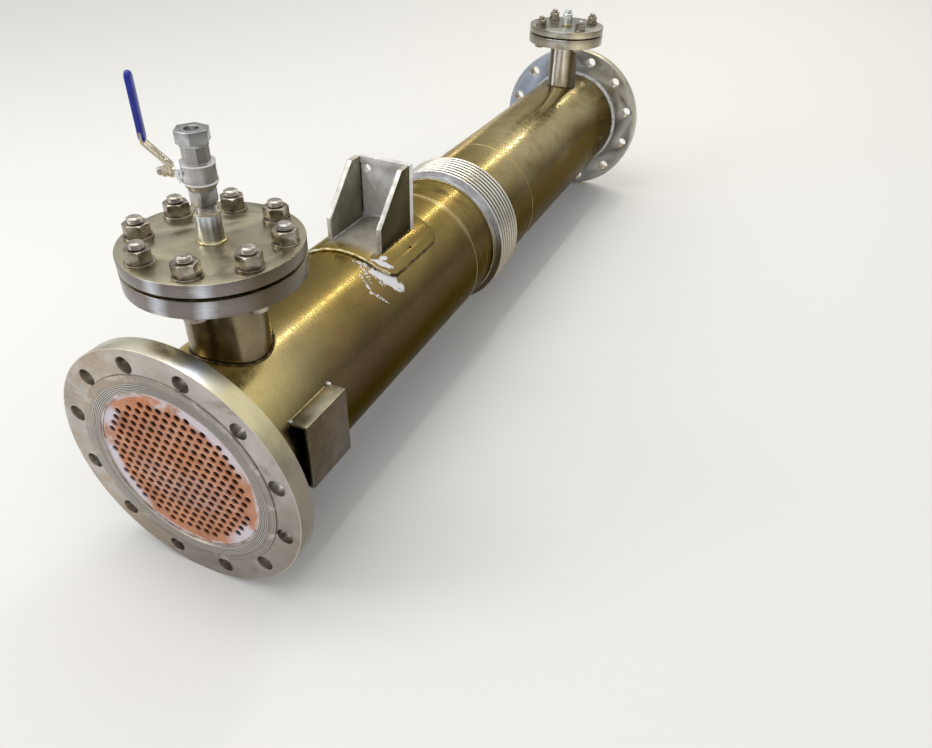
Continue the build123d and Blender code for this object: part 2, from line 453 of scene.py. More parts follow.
def white_smears(f):
    """Dried white paint beside the lug's pad: one blob in three parts, and several broken streaks."""
    flat = f.unrolled()
    ragged = f.times(f.less(f.noise(90, detail=6, rough=0.7), 0.5), 2.2)
    # Each: millimetres round from the top, station, half its length, half its width, its turn in degrees
    blob = ((93, 450, 33, 12, 26), (70, 466, 19, 7, 30), (62, 478, 9, 5, 80))
    streaks = ((44, 440, 22, 4.5, 12), (74, 404, 24, 3.2, -25), (108, 405, 20, 3, 27),
               (62, 424, 20, 4, -30), (80, 432, 22, 4, -8))
    solid, thin = (f.most(*[f.daub(flat, *spot, ragged) for spot in spots]) for spots in (blob, streaks))
    broken = f.band(f.noise(330, (1, 0.5, 1), 3), 0.46, 0.56)
    return f.most(solid, f.times(thin, broken))


def shell_finish():
    """Rolled stainless sheet: gold, with straw at the seams, smudges and paint; painted darker brown low down
    as shade and dark reflection.
    """
    f = Finish("golden_shell_steel")
    cloud = f.noise(5, (1.4, 0.6, 1.4), 6, 0.6)
    fine = f.noise(70, (0.5, 7, 0.5), 3)
    golden = f.clouded(cloud, (0.19, 0.137, 0.043), (0.29, 0.217, 0.074), (0.41, 0.335, 0.13))
    paler = f.clouded(cloud, (0.44, 0.37, 0.21), (0.60, 0.52, 0.31), (0.76, 0.69, 0.46))
    base = f.blend(f.band(f.y, 800, 1200), golden, paler)
    silver = f.band(f.noise(3.2, (1, 0.5, 1), 3), 0.50, 0.68, 0.0, 0.35)
    base = f.tint(silver, (0.46, 0.41, 0.27), base)
    # Painted highlight: the shell painted bright gold from the front end flange to the front nozzle.
    base = f.tint(f.band(f.y, 210, 70, 0.0, 0.85), (0.78, 0.64, 0.27), base)
    # Painted reflection: a dark patch on the shell behind and left of the front nozzle's neck, standing for
    # the neck's reflection.
    behind_neck = f.times(f.band(f.x, 50, -10), f.between(f.y, 120, 200, 360, 440), 0.7)
    base = f.tint(behind_neck, (0.17, 0.135, 0.06), base)
    for station in weld_stations:
        base = f.tint(f.near(f.y, station, 12), (0.58, 0.47, 0.22), base)
    # Painted reflection: orange-brown patches on the right side of the shell.
    warm = f.band(f.noise(17, (1, 0.6, 1), 5, 0.6), 0.48, 0.66, 0.0, 0.55)
    base = f.tint(f.times(warm, f.band(f.x, 30, 90)), (0.37, 0.235, 0.10), base)
    # Painted shade and dark reflection: darker brown from partway down the side, near black at the bottom.
    level = f.plus(f.z, f.times(f.less(cloud, 0.5), 50))
    base = f.tint(f.band(level, 118, 40), (0.125, 0.092, 0.05), base)
    base = f.tint(f.band(level, 75, -30), (0.026, 0.020, 0.012), base)
    smudges = f.band(f.noise(34, (0.5, 2.4, 0.5), 5), 0.48, 0.66)
    base = f.tint(f.times(f.near(f.y, 770, 62), smudges, 0.75), (0.13, 0.095, 0.05), base)
    in_lug = f.times(
        f.band(f.unsigned(f.x), gusset_outer, gusset_outer - 5),
        f.between(f.y, pad_front + 6, lug_front + 4, plate_back - 4, plate_back + 2),
        f.band(f.radius(), shell_r + 2, shell_r + 3.5))
    pickled = f.ramp(f.noise(34, detail=7, rough=0.65), (0.3, (0.22, 0.20, 0.165)), (0.7, (0.43, 0.41, 0.36)))
    base = f.tint(in_lug, pickled, base)
    cut_ends = f.most(f.band(f.y, 9, 6), f.band(f.y, length - 9, length - 6))
    bare_metal = f.ramp(f.noise(45, detail=5), (0.36, (0.36, 0.32, 0.29)), (0.6, (0.74, 0.70, 0.70)))
    base = f.tint(cut_ends, bare_metal, base)
    base = f.shade(base, f.band(fine, 0.3, 0.7, 0.90, 1.0))
    specks = f.band(f.noise(150, detail=2), 0.74, 0.80)
    base = f.tint(specks, (0.16, 0.12, 0.06), base)
    paint = white_smears(f)
    f.colour(f.tint(paint, (0.66, 0.66, 0.69), base))
    coated = f.most(paint, f.times(in_lug, 0.75))
    f.feed(f.shader.inputs["Metallic"], f.less(1.0, coated))
    polish = f.band(f.noise(230, (0.5, 6, 0.5), 2), 0.40, 0.60, 0.13, 0.30)
    dull = f.plus(polish, f.band(f.noise(14, (1, 2, 1), 5), 0.3, 0.7, 0.0, 0.07))
    f.feed(f.shader.inputs["Roughness"], f.most(f.times(coated, 0.6), dull))
    f.shader.inputs["Specular Tint"].default_value = (0.62, 0.55, 0.42, 1)
    f.relief(fine, 0.015)
    f.relief(f.noise(4, (1, 0.7, 1), 2), 0.8)
    f.relief(paint, 0.4)
    return f.material


def turned_finish(name, dark, light, rough, rim=(), rim_r=None, station=None):
    """Turned stainless with cloudy flats and faint scratches. A disc is painted lighter on its left side as
    light, and its rim has upright bands of painted reflection, given as the stops of a ramp round it."""
    f = Finish(name)
    base = f.ramp(f.noise(9, (1, 1.6, 1), 6, 0.6), (0.3, dark), (0.7, light))
    scratches = f.band(f.noise(55, (0.25, 2.6, 1), 3, warp=0.6), 0.70, 0.76)
    base = f.tint(f.times(scratches, 0.5), scaled(light, 1.7), base)
    if rim:
        # Painted light: the disc lighter on its left side.
        base = f.tint(f.band(f.x, 20, -90, 0.0, 0.6), light, base)
        # Painted reflections: upright bands round the rim, darkened a little by brushed lines.
        lines = f.plus(f.times(f.noise(1.0, (0, 0, 700), 2), 0.4), f.times(f.noise(9, (1, 1, 0), 3), 0.6))
        banded = f.ramp(f.around(f.less(station, f.y)), *rim)
        on_rim = f.band(f.distance(f.x, f.less(f.y, station)), rim_r - 0.7, rim_r - 0.3)
        base = f.tint(on_rim, f.shade(banded, f.band(lines, 0.38, 0.62, 0.7, 1.0)), base)
    f.colour(base)
    f.rough(f.noise(25, detail=5), *rough)
    f.relief(f.noise(30, (1, 1, 14), 2), 0.04)
    f.relief(f.noise(90, detail=3), 0.04)
    return f.material


def banded_neck_finish():
    """Rear neck: polished, with upright bands of brown and silver that are painted reflections."""
    f = Finish("banded_rear_neck")
    brown, silver, olive = (0.085, 0.064, 0.036), (0.95, 0.93, 0.88), (0.22, 0.18, 0.11)
    # Painted reflections: upright bands round the neck.
    bands = f.ramp(
        f.around(f.less(rear_station, f.y), 0.1), (0.10, olive), (0.415, brown), (0.435, silver),
        (0.46, (0.22, 0.20, 0.17)), (0.515, silver), (0.545, silver), (0.585, (0.50, 0.42, 0.28)),
        (0.63, brown), (0.90, olive))
    f.colour(f.shade(bands, f.band(f.noise(30, detail=5), 0.3, 0.7, 0.8, 1.0)))
    f.rough(f.noise(25, detail=5), 0.18, 0.30)
    f.relief(f.noise(90, detail=3), 0.03)
    return f.material


def flange_finish():
    """Front end flange: mauve-grey face with turned rings and stains, painted shade and highlight in its
    grooves and at its edges, and bands of painted highlight and reflection round its rim.
    """
    f = Finish("turned_front_flange")
    r = f.radius()
    rings = f.noise(1.0, (0.62, 0, 0), 3, vector=f.joined(r, 0.0, 0.0))
    base = f.clouded(
        f.noise(8, detail=7, rough=0.62), (0.31, 0.275, 0.245), (0.47, 0.435, 0.405), (0.60, 0.57, 0.55))
    low = f.band(f.plus(f.z, f.times(f.x, -0.4)), 40, -150, 0.0, 0.55)
    base = f.tint(low, (0.24, 0.20, 0.165), base)
    grime = f.band(f.noise(11, (1, 1, 1.8), 7, 0.68, warp=0.8), 0.50, 0.66, 0.0, 0.55)
    base = f.tint(grime, (0.21, 0.17, 0.13), base)

    raised = f.between(r, shell_r - 0.3, shell_r + 0.5, face_r - 0.3, face_r + 0.5)
    turned_face = f.ramp(
        rings, (0.36, (0.13, 0.113, 0.097)), (0.5, (0.29, 0.26, 0.23)), (0.64, (0.50, 0.465, 0.43)))
    base = f.tint(f.times(raised, 0.8), turned_face, base)
    beige = f.band(f.noise(15, (1, 1, 1.6), 7, 0.68, warp=0.8), 0.40, 0.62)
    base = f.tint(f.times(beige, f.band(f.x, 50, -120), 0.75), (0.40, 0.31, 0.215), base)
    # Groove bottoms painted dark as shade and ridge tops painted bright as highlight.
    from_ridge = f.less(r, groove_start + 0.25 * groove_pitch)
    ridge = f.maths("SINE", f.times(from_ridge, 2 * pi / groove_pitch))
    lines = f.ramp(
        f.band(ridge, -0.9, 0.9), (0.15, (0.07, 0.06, 0.052)), (0.55, (0.24, 0.215, 0.195)),
        (0.9, (0.66, 0.63, 0.60)))
    grooved = f.between(r, groove_start - 0.4, groove_start + 0.2, groove_end - 0.7, groove_end + 0.5)
    base = f.tint(f.times(grooved, 0.85), lines, base)
    stains = f.band(f.noise(20, (1, 1, 1.6), 6, 0.65, warp=1.2), 0.54, 0.64)
    base = f.tint(f.times(stains, f.near(r, face_r - 3.5, 14), 0.7), (0.60, 0.56, 0.51), base)
    # Painted shade: a dark line just outside the raised face, at its step.
    base = f.tint(f.near(r, face_r + 0.7, 0.8), (0.11, 0.095, 0.08), base)

    # Painted highlights and reflections in bands round the rim: cream at the top, silver and pale gold to its
    # right, umber at the sides.
    cream, silver, pale_gold = (0.80, 0.76, 0.60), (0.70, 0.76, 0.88), (0.86, 0.79, 0.48)
    umber, drab = (0.30, 0.265, 0.21), (0.42, 0.40, 0.36)
    rim = f.ramp(
        f.around(f.z, 0.25), (0.25, umber), (0.34, drab), (0.47, cream), (0.52, cream), (0.55, silver),
        (0.585, pale_gold), (0.63, pale_gold), (0.69, umber), (0.78, umber), (0.84, drab))
    rim = f.shade(rim, f.band(f.noise(12, (1, 2, 1), 6), 0.34, 0.66, 0.78, 1.0))
    base = f.tint(f.band(r, flange_r - 1.1, flange_r - 0.3), rim, base)
    # Painted highlight along the rim's front edge.
    worn_edge = f.times(f.near(r, flange_r - 0.7, 0.8), f.near(f.y, 2.5, 1.5))
    base = f.tint(worn_edge, (0.80, 0.77, 0.70), base)

    nearest, farthest = bolt_circle_r - bolt_hole_r, bolt_circle_r + bolt_hole_r
    in_hole = f.times(
        f.band(f.y, 3.5, 12), f.between(r, nearest - 0.5, nearest + 0.5, farthest - 0.5, farthest + 0.5))
    # Painted light and shade: bolt hole walls pale where they face up, dark elsewhere.
    hole_wall = f.tint(f.band(f.facing()[2], 0.0, 0.75), (0.86, 0.84, 0.79), (0.20, 0.175, 0.125))
    base = f.tint(in_hole, hole_wall, base)
    base = f.tint(f.band(r, shell_r + 0.7, shell_r + 0.2), (0.66, 0.62, 0.58), base)
    f.colour(base)
    f.rough(f.noise(18, detail=5), 0.26, 0.42)
    f.relief(rings, 0.10)
    f.relief(f.noise(40, (1, 10, 1), 2), 0.04)
    return f.material


def pale_flange_finish():
    """Rear end flange: pale grey, dull, its left part painted blue as a reflection, with a lighter ring round
    every hole and a straw rim.
    """
    f = Finish("pale_rear_flange")
    r = f.radius()
    step = 2 * pi / flange_holes
    past_hole = f.less(f.maths("MODULO", f.plus(f.turn(), 4 * pi), step), step / 2)
    to_hole = f.distance(f.times(past_hole, bolt_circle_r), f.less(r, bolt_circle_r))
    clouds = f.noise(13, detail=7, rough=0.62)
    bluish = f.clouded(clouds, (0.25, 0.295, 0.37), (0.36, 0.41, 0.51), (0.49, 0.54, 0.64))
    greyish = f.clouded(clouds, (0.40, 0.385, 0.345), (0.62, 0.60, 0.55), (0.76, 0.745, 0.70))
    outer_face = f.band(f.y, length - 14, length - 4)
    # Painted reflection: the left part of the face blue, the rest and the outer face pale grey.
    base = f.blend(f.most(f.band(f.x, -80, 120), outer_face), bluish, greyish)
    base = f.tint(f.near(to_hole, bolt_hole_r + 2, 3.4), (0.60, 0.585, 0.54), base)
    base = f.tint(f.band(to_hole, bolt_hole_r + 0.3, bolt_hole_r - 0.4), (0.36, 0.27, 0.13), base)
    base = f.tint(f.band(r, flange_r - 2, flange_r - 0.5), (0.56, 0.53, 0.42), base)
    base = f.tint(f.band(f.noise(26, detail=5), 0.62, 0.70, 0.0, 0.7), (0.17, 0.17, 0.17), base)
    f.colour(base)
    f.rough(f.noise(24, detail=5), 0.34, 0.5)
    f.relief(f.noise(120, detail=3), 0.08)
    return f.material


def tube_sheet_finish():
    """Rusted tube sheet with pale smears, and residue at the front one's edge; the bores are painted dark
    inside as shade.
    """
    f = Finish("rusty_tube_sheet", metallic=0.0)
    r = f.radius()
    rust = f.ramp(
        f.noise(24, detail=8, rough=0.62), (0.25, (0.24, 0.092, 0.050)), (0.44, (0.48, 0.20, 0.105)),
        (0.6, (0.58, 0.27, 0.155)), (0.8, (0.66, 0.39, 0.27)))
    orange = f.band(f.noise(9, detail=3), 0.52, 0.62, 0.0, 0.5)
    rust = f.tint(orange, (0.62, 0.22, 0.065), rust)
    mauve = f.times(f.band(r, 100, 50), f.band(f.noise(13, (1, 1, 2), 5), 0.46, 0.60, 0.0, 0.5))
    rust = f.tint(mauve, (0.44, 0.27, 0.225), rust)
    smears = f.band(f.noise(70, (0.45, 1, 2.2), 4, 0.6), 0.50, 0.64)
    rust = f.tint(f.times(smears, f.near(f.z, -22, 62), 0.7), (0.66, 0.50, 0.45), rust)
    deep = f.band(f.noise(12, (1, 1, 1.4), 5, 0.6), 0.52, 0.66, 0.0, 0.5)
    rust = f.tint(deep, (0.40, 0.135, 0.07), rust)

    upper = f.times(f.band(f.z, 20, 70), f.band(f.x, -50, 0))
    left = f.times(f.band(f.x, -60, -95), f.band(f.z, 95, 70))
    lower = f.times(f.band(f.x, 55, 85), f.band(f.z, -35, -70))
    residue = f.times(
        f.band(r, tube_reach - 11, tube_reach + 2), f.most(upper, left, lower),
        f.band(f.noise(16, detail=7, rough=0.65), 0.40, 0.50))
    ring = f.times(
        f.band(r, tube_reach + 8, tube_reach + 11), f.band(f.noise(40, detail=5), 0.38, 0.52), 0.8)
    front = f.band(f.y, length / 2, length / 2 - 200)
    face = f.tint(f.times(f.most(residue, ring), front), (0.66, 0.60, 0.66), rust)
    # Painted shade: the bores dark a little way in from the surface.
    depth = f.maths("MINIMUM", f.less(f.y, sheet_recess), f.less(length - sheet_recess, f.y))
    f.colour(f.tint(f.band(depth, 0.2, 3.5), (0.020, 0.008, 0.006), face))
    f.rough(f.noise(60, detail=5), 0.42, 0.85)
    f.relief(f.noise(120, detail=6, rough=0.7), 0.4)
    return f.material


def plate_finish(name, dark, light, rough, metallic=1.0, right_face=None):
    """Dull pickled plate with clouds, pale blotches and small scratches; its right face may be painted darker
    as shade.
    """
    f = Finish(name, metallic)
    base = f.ramp(f.noise(22, detail=8, rough=0.7), (0.34, dark), (0.62, light))
    blotches = f.band(f.noise(42, detail=5, rough=0.7), 0.56, 0.68, 0.0, 0.7)
    base = f.tint(blotches, scaled(light, 1.35, 0.9), base)
    base = f.tint(f.band(f.noise(75, detail=4, rough=0.7), 0.62, 0.70, 0.0, 0.5), scaled(dark, 0.6), base)
    # Painted shade: faces that point right darkened.
    if right_face:
        base = f.tint(f.band(f.facing()[0], 0.7, 0.9), f.blend(1.0, base, right_face, "MULTIPLY"), base)
    f.colour(base)
    f.rough(f.noise(45, detail=4), *rough)
    f.relief(f.noise(14, detail=3), 0.3)
    f.relief(f.noise(160, (0.4, 1, 3), 2), 0.05)
    return f.material


def gusset_finish():
    """Gusset plate: faces painted olive-brown inside and near black outside as reflection and shade, its cut
    edges bright.
    """
    f = Finish("olive_gusset_plate", metallic=0.6)
    clouds_in, clouds_out = f.noise(16, detail=7, rough=0.62), f.noise(14, detail=7, rough=0.62)
    # Painted reflection and shade: the inner faces olive, the outer faces near black.
    inner = f.ramp(clouds_in, (0.3, (0.16, 0.15, 0.115)), (0.66, (0.35, 0.335, 0.28)))
    outer = f.ramp(clouds_out, (0.3, (0.020, 0.016, 0.006)), (0.66, (0.046, 0.038, 0.018)))
    outside = f.band(f.unsigned(f.x), gusset_outer - 1.5, gusset_outer - 0.5)
    edge = f.ramp(f.noise(80, detail=5), (0.3, (0.42, 0.40, 0.36)), (0.7, (0.74, 0.73, 0.70)))
    f.colour(f.tint(f.band(f.unsigned(f.facing()[0]), 0.9, 0.6), edge, f.tint(outside, outer, inner)))
    f.shader.inputs["Specular Tint"].default_value = (0.80, 0.70, 0.45, 1)
    f.rough(f.noise(45, detail=4), 0.30, 0.5)
    f.relief(f.noise(14, detail=3), 0.3)
    return f.material


def cast_finish(name, dark, light, grain=260, rough=(0.2, 0.36), grit=0.12, bright_rims=(), right_side=None):
    """Cast or machined fitting with a fine grain. It may have bright rims, given by their heights over the
    shell's axis, and a right side painted darker brown as shade."""
    f = Finish(name)
    base = f.ramp(f.noise(60, detail=5), (0.3, dark), (0.7, light))
    # Painted shade: faces that point right darkened to brown.
    if right_side:
        base = f.tint(f.band(f.facing()[0], 0.70, 0.95, 0.0, 0.85), right_side, base)
    for height in bright_rims:
        base = f.tint(f.near(f.z, height, 2.2), (0.86, 0.85, 0.84), base)
    f.colour(base)
    f.rough(f.noise(80, detail=4), *rough)
    f.relief(f.noise(grain, detail=4), grit)
    return f.material


def weld_finish(name, dark, middle, bright, metallic=1.0):
    """Weld metal with ripples."""
    f = Finish(name, metallic)
    f.colour(f.ramp(f.noise(110, detail=5), (0.3, dark), (0.52, middle), (0.72, bright)))
    f.rough(f.noise(120), 0.26, 0.48)
    f.relief(f.noise(320, detail=2), 0.5)
    return f.material


def bellows_finish():
    """Bright formed bellows: roots between the crests painted dark as shade, painted darker and browner low
    down as shade, the cuffs' upper part painted pale blue-grey as sheen.
    """
    f = Finish("bright_bellows_steel")
    base = f.ramp(f.noise(13, detail=5), (0.3, (0.68, 0.65, 0.55)), (0.7, (0.93, 0.91, 0.84)))
    # Painted shade: the roots between the crests dark.
    root = f.times(
        f.band(f.radius(), crest_r - 0.2, crest_r - 4),
        f.between(f.y, folds_front - 1, folds_front + 1, folds_rear - 1, folds_rear + 1))
    base = f.tint(root, (0.09, 0.068, 0.033), base)
    # Painted shade: darker and browner low down.
    base = f.tint(f.band(f.z, 115, -40, 0.0, 0.68), (0.22, 0.18, 0.11), base)
    # Painted sheen: the cuffs' upper part pale blue-grey.
    cuffs = f.most(
        f.band(f.y, folds_front + 5.5, folds_front + 4), f.band(f.y, folds_rear - 5.5, folds_rear - 4))
    cuffs = f.times(cuffs, f.band(f.z, -20, 115))
    worn = f.ramp(f.noise(26, (1, 3, 1), 6, 0.65), (0.36, (0.40, 0.385, 0.37)), (0.62, (0.72, 0.73, 0.78)))
    f.colour(f.tint(cuffs, worn, base))
    f.feed(f.shader.inputs["Metallic"], f.less(1.0, f.times(cuffs, 0.45)))
    f.rough(f.noise(30, detail=4), 0.20, 0.34)
    f.relief(f.noise(60, (0.4, 6, 0.4), 3), 0.05)
    return f.material


def rubber_finish():
    f = Finish("black_gasket", metallic=0.0, roughness=0.65)
    f.colour(f.ramp(f.noise(50), (0.3, (0.008, 0.008, 0.008)), (0.7, (0.022, 0.021, 0.02))))
    f.relief(f.noise(200), 0.1)
    return f.material


def sleeve_finish():
    """Glossy blue dipped vinyl."""
    f = Finish("blue_vinyl_sleeve", metallic=0.0, roughness=0.28)
    f.colour(f.ramp(f.noise(60, detail=3), (0.3, (0.002, 0.010, 0.24)), (0.7, (0.004, 0.020, 0.36))))
    f.relief(f.noise(45, detail=2), 0.3)
    return f.material


shell_steel = shell_finish()
flange_steel = flange_finish()
pale_flange = pale_flange_finish()
# Colours for the painted reflections round the rims of the nozzle discs.
mauve, bluish, umber, drab = (0.27, 0.24, 0.23), (0.72, 0.75, 0.82), (0.12, 0.095, 0.06), (0.34, 0.31, 0.27)
blank_steel = turned_finish(
    "turned_front_blank", (0.26, 0.23, 0.145), (0.50, 0.465, 0.34), (0.22, 0.38),
    ((0.30, drab), (0.49, mauve), (0.511, bluish), (0.532, mauve), (0.572, mauve), (0.592, bluish),
     (0.612, mauve), (0.69, umber), (0.90, drab)),
    front_blank_r, front_station)
# The rear disc's rim is painted with reflections as well.
khaki = (0.32, 0.29, 0.23)
small_blank_steel = turned_finish(
    "turned_rear_blank", (0.33, 0.315, 0.25), (0.52, 0.505, 0.44), (0.20, 0.34),
    ((0.30, khaki), (0.46, (0.40, 0.365, 0.29)), (0.53, (0.92, 0.91, 0.90)), (0.56, (0.50, 0.455, 0.35)),
     (0.60, (0.80, 0.70, 0.50)), (0.68, (0.34, 0.30, 0.22)), (0.90, khaki)),
    rear_blank_r, rear_station)
neck_steel = turned_finish("dark_neck_steel", (0.10, 0.075, 0.038), (0.27, 0.22, 0.135), (0.16, 0.28))
rear_neck_steel = banded_neck_finish()
bellows_steel = bellows_finish()
rusty_sheet = tube_sheet_finish()
lug_steel = plate_finish(
    "silvery_lug_plate", (0.52, 0.515, 0.50), (0.84, 0.835, 0.83), (0.42, 0.6), metallic=0.12)
gusset_steel = gusset_finish()
bracket_steel = plate_finish(
    "golden_bracket_plate", (0.26, 0.235, 0.16), (0.44, 0.41, 0.305), (0.28, 0.45),
    right_face=(0.27, 0.22, 0.18))
nut_steel = cast_finish("stained_nut_steel", (0.13, 0.105, 0.075), (0.47, 0.43, 0.36), 200, (0.22, 0.40), 0.2)
shank_steel = cast_finish("worn_shank_steel", (0.24, 0.22, 0.19), (0.58, 0.555, 0.50), 150, (0.28, 0.45))
valve_steel = cast_finish(
    "cast_valve_steel", (0.40, 0.385, 0.39), (0.60, 0.58, 0.59), 420, (0.26, 0.42), bright_rims=(375, 399),
    right_side=(0.17, 0.155, 0.13))
socket_steel = cast_finish(
    "machined_socket_steel", (0.74, 0.77, 0.80), (0.92, 0.94, 0.97), 120, (0.26, 0.38), 0.04,
    right_side=(0.32, 0.30, 0.26))
zinc_plate = cast_finish(
    "zinc_plated_hex", (0.28, 0.29, 0.29), (0.58, 0.595, 0.60), 90, right_side=(0.17, 0.165, 0.15))
lever_steel = cast_finish("pressed_lever_steel", (0.46, 0.41, 0.30), (0.74, 0.69, 0.57), 150)
weld_metal = weld_finish("bright_weld_metal", (0.42, 0.40, 0.38), (0.66, 0.67, 0.70), (0.86, 0.86, 0.88), 0.5)
gold_weld = weld_finish("golden_weld_metal", (0.30, 0.235, 0.11), (0.55, 0.47, 0.26), (0.82, 0.78, 0.62))
straw_seam = weld_finish("straw_seam_metal", (0.28, 0.22, 0.10), (0.46, 0.39, 0.21), (0.66, 0.60, 0.42))
brown_weld = weld_finish("brown_weld_metal", (0.035, 0.026, 0.012), (0.085, 0.06, 0.028), (0.26, 0.21, 0.11))
gasket_rubber = rubber_finish()
blue_vinyl = sleeve_finish()

# Solids that are kept as they are

plain_nodes = {
    shell_steel: ("front_barrel", "front_spool", "rear_spool", "rear_barrel"),
    neck_steel: ("front_nozzle_neck",),
    rear_neck_steel: ("rear_nozzle_neck",),
    bellows_steel: ("expansion_bellows",),
    rusty_sheet: ("tube_bundle",),
    gasket_rubber: ("front_gasket", "rear_gasket"),
}
for finish, names in plain_nodes.items():
    for name in names:
        solids[name].data.materials.clear()
        solids[name].data.materials.append(finish)

# Solids whose edges show: each is copied and its edges are rounded

for node, width, finish, slot in (
        ("front_flange", 0.9, flange_steel, "flange_stainless"),
        ("rear_flange", 0.9, pale_flange, "flange_stainless"),
        ("front_nozzle_flange", 0.8, blank_steel, "nozzle_stainless"),
        ("front_blank", 0.8, blank_steel, "nozzle_stainless"),
        ("rear_nozzle_flange", 0.8, small_blank_steel, "nozzle_stainless"),
        ("rear_blank", 0.8, small_blank_steel, "nozzle_stainless"),
        ("lug_pad", 1.0, shell_steel, "shell_stainless"),
        ("lug_back_plate", 0.8, lug_steel, "bracket_stainless"),
        ("lug_left_gusset", 0.8, gusset_steel, "bracket_stainless"),
        ("lug_right_gusset", 0.8, gusset_steel, "bracket_stainless"),
        ("side_bracket", 0.8, bracket_steel, "bracket_stainless"),
        ("test_socket", 1.2, socket_steel, "fitting_stainless"),
        ("test_valve", 0.5, valve_steel, "fitting_stainless"),
        ("hose_adapter", 0.8, zinc_plate, "plated_steel"),
        ("rear_vent_socket", 1.0, socket_steel, "fitting_stainless"),
        ("rear_vent_plug", 0.7, socket_steel, "fitting_stainless")):
    keep(shaped_from(node, width), node + "_look", finish, stands_for=[node])
for node, width, segments, finish, slot in (
        ("valve_lever", 0.5, 2, lever_steel, "lever_steel"),
        ("lever_nut", 0.6, 2, lever_steel, "lever_steel"),
        ("lever_grip", 3.0, 4, blue_vinyl, "blue_sleeve")):
    keep(shaped_from(node, width, segments), node + "_look", finish, "lever", [node])


# Bolts of the nozzles

def hex_nut(flats, height):
    """Hexagon nut or head standing on the origin, with its upper corners turned off."""
    corner = flats / sqrt(3)
    alone()
    bpy.ops.mesh.primitive_cylinder_add(
        vertices=6, radius=corner * mm, depth=height * mm, location=(0, 0, height / 2 * mm))
    nut = settle(bpy.context.object)
    blank = turned(
        [(0, -1), (corner + 1, -1), (corner + 1, height - 2.2), (flats / 2 - 0.8, height), (0, height)],
        (0, 0, 0), steps=48)
    apply(nut, "BOOLEAN", operation="INTERSECT", object=blank, solver="EXACT")
    bpy.data.objects.remove(blank)
    apply(nut, "BEVEL", width=0.5 * mm, segments=2, limit_method="ANGLE", angle_limit=radians(40))
    return smooth(nut, 25)


def thread(r, low, high, pitch, depth):
    """Outline of a threaded length, from a low to a high level."""
    turns = int((high - low) / pitch)
    points = []
    for turn in range(turns):
        level = low + turn * pitch
        points += [(r, level), (r - depth, level + pitch / 2)]
    return points + [(r, low + turns * pitch)]


def shank(size, low, high):
    """Bolt's shank from a low to a high level, threaded over its last part, with a domed end."""
    r, pitch, dome = size / 2, 2.5, 2.4
    outline = [(0, low), (r, low)] + thread(r, high - dome - 5 * pitch, high - dome, pitch, 1.4)
    outline += [(r - 0.9, high - 1.6), (r - 3.2, high - 0.4), (0, high)]
    return smooth(turned(outline, (0, 0, 0), steps=24), 20)


def washer(size, od, thickness):
    hole, edge = size / 2 - 1, 0.5
    return smooth(turned([(hole, 0), (od / 2, 0), (od / 2, thickness - edge), (od / 2 - edge, thickness),
                          (hole, thickness)], (0, 0, 0), steps=32), 30)


def bolting(name, station, count, circle, size, flats, washer_od):
    """A bolt at every hole of a nozzle: its head under the pair of discs, a washer and a nut over them."""
    bottom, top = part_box(name + "_flange")[0].z / mm, over(nozzle_top) / mm
    nut_h, head_h, washer_t, proud = 0.86 * size, 0.6 * size, 3.0, 8.5
    bolt = shank(size, bottom - head_h / 2, top + washer_t + nut_h + proud)
    nut = lifted(hex_nut(flats, nut_h), top + washer_t)
    head = hex_nut(flats, head_h)
    head.data.transform(Matrix.Rotation(pi, 4, "X"))
    lifted(head, bottom)
    washers = lifted(washer(size, washer_od, washer_t), top)
    places = []
    for k in range(count):
        turn = 2 * pi * (k + 0.5) / count
        spot = Vector((circle / 2 * mm * cos(turn), at(station) + circle / 2 * mm * sin(turn), 0))
        places.append(Matrix.Translation(spot) @ Matrix.Rotation(0.9 * k * k + 0.3, 4, "Z"))
    keep(repeat(join([nut, head, washers]), places), name + "_nuts_and_heads", nut_steel)
    keep(repeat(bolt, places), name + "_shanks", shank_steel)


bolting("front_nozzle", front_station, count=8, circle=194, size=20, flats=31, washer_od=38)
bolting("rear_nozzle", rear_station, count=4, circle=155, size=16, flats=24, washer_od=30)

# Small pieces of the test valve

nipple_low, nipple_high = (level.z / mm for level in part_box("test_nipple"))
nipple = turned(
    [(0, nipple_low)] + thread(13.4, nipple_low, nipple_high, 1.8, 0.9) + [(0, nipple_high)],
    (0, at(front_station), 0), steps=48)
keep(smooth(nipple, 20), "threaded_nipple", shank_steel, stands_for=["test_nipple"])


def on_stem(obj):
    """Lays a piece made upright at the origin along the valve's stem, pointing outwards."""
    stem = frame["joints"][0]
    outward, spot = Vector(stem["axis"]), Vector(stem["pos_m"])
    turn = outward.to_track_quat("Z", "Y").to_matrix().to_4x4()
    obj.data.transform(Matrix.Translation(spot) @ turn)
    return obj


def small_block(x, y, z, wide, deep, high):
    """Small block with softened edges, centred at a spot."""
    alone()
    bpy.ops.mesh.primitive_cube_add(size=mm, location=(x * mm, y * mm, z * mm))
    obj = bpy.context.object
    obj.scale = (wide, deep, high)
    return smooth(apply(settle(obj), "BEVEL", width=0.5 * mm, segments=2))


gland_nut = lifted(hex_nut(21, 8), 18)
packing_ring = turned(
    [(0, 22), (10.6, 22), (11.2, 22.6), (11.2, 25.2), (10.6, 25.8), (0, 25.8)], (0, 0, 0), steps=32)
stops = [small_block(11.5, 0, 23.5, 5, 6, 5), small_block(0, -11.5, 23.5, 6, 5, 5)]
keep(on_stem(join([gland_nut, smooth(packing_ring, 30), *stops])), "valve_gland_and_stops", socket_steel)
cap = turned(
    [(0, 42.9), (5.4, 42.9), (5.4, 47.2), (5.0, 48.6), (3.9, 49.7), (2.2, 50.3), (0, 50.5)], (0, 0, 0),
    steps=24)
keep(on_stem(smooth(cap, 40)), "stem_end_cap", shank_steel, "lever")


# Welds

